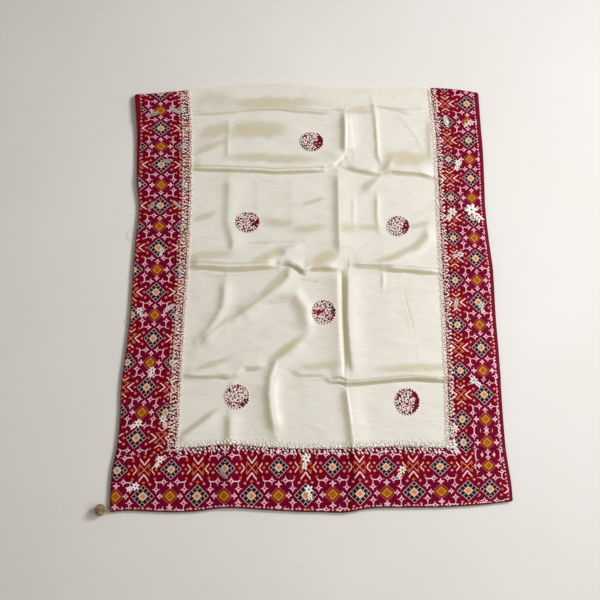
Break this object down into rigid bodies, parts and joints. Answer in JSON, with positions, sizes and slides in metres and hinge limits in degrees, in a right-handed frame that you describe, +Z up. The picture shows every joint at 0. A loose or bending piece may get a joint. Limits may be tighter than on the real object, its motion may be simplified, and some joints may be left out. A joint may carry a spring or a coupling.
{
  "type": "saree",
  "caption": "Folded silk saree laid flat, pallu end up: plain field with round appliques, patterned border, worked edging, piped edges and a thread ball at one corner.",
  "frame": {"origin": "middle of the flat underside, on the surface the saree lies on", "axes": "+Z up off the surface, +Y along the cloth from the pallu hem to the far fold, +X across the cloth to the right"},
  "size_m": [1.1655, 1.3589, 0.03],
  "materials": {
    "field_silk": "cream shot silk with a soft sheen",
    "printed_silk": "magenta printed silk, satin",
    "thread_work": "ivory thread and small beads",
    "piping": "dark maroon rolled silk",
    "gold_thread": "wound metallic thread with fine beads"
  },
  "bodies": {
    "root": {"field": "field_silk", "border_left": "printed_silk", "border_right": "printed_silk", "border_pallu": "printed_silk", "trim_left": "thread_work", "trim_right": "thread_work", "trim_pallu": "thread_work", "disc_1": "printed_silk", "disc_2": "printed_silk", "disc_3": "printed_silk", "disc_4": "printed_silk", "disc_5": "printed_silk", "disc_6": "printed_silk", "piping_left": "piping", "piping_right": "piping", "piping_hem": "piping", "folded_layers": "field_silk", "latkan": "gold_thread", "latkan_knot": "gold_thread", "latkan_thread": "gold_thread"}
  },
  "joints": []
}
